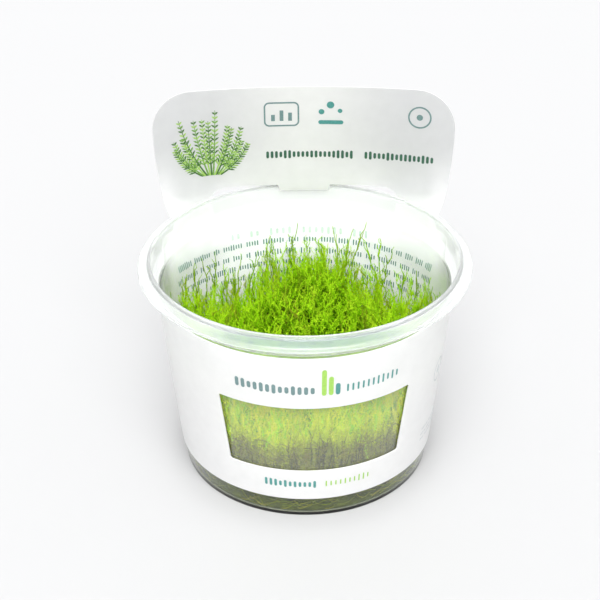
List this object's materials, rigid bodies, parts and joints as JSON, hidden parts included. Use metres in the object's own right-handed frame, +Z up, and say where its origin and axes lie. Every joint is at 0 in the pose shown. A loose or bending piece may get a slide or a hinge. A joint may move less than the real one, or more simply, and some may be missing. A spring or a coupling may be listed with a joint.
{
  "type": "tissue culture creeping feather moss",
  "caption": "Cushion of creeping feather moss growing on agar gel in a clear open culture cup, with a windowed card wrap and a header card for display.",
  "frame": {"origin": "centre of the cup's underside, on the plane that its foot ring rests on", "axes": "+Z up along the cup's axis; the card's window faces -Y, four degrees towards +X; the header stands behind the rim at +Y"},
  "size_m": [0.1098, 0.1098, 0.1144],
  "materials": {
    "clear_polypropylene": "clear, glossy moulded polypropylene",
    "white_card": "smooth coated white card with printed marks in dark green, teal and grey-green",
    "agar_gel": "cloudy, olive-tinted wet gel",
    "creeping_moss": "fine leafy shoots, bright yellow-green above and olive low down"
  },
  "bodies": {
    "root": {"cup": "clear_polypropylene", "card_wrap": "white_card", "gel": "agar_gel", "moss_cushion": "creeping_moss"}
  },
  "joints": []
}
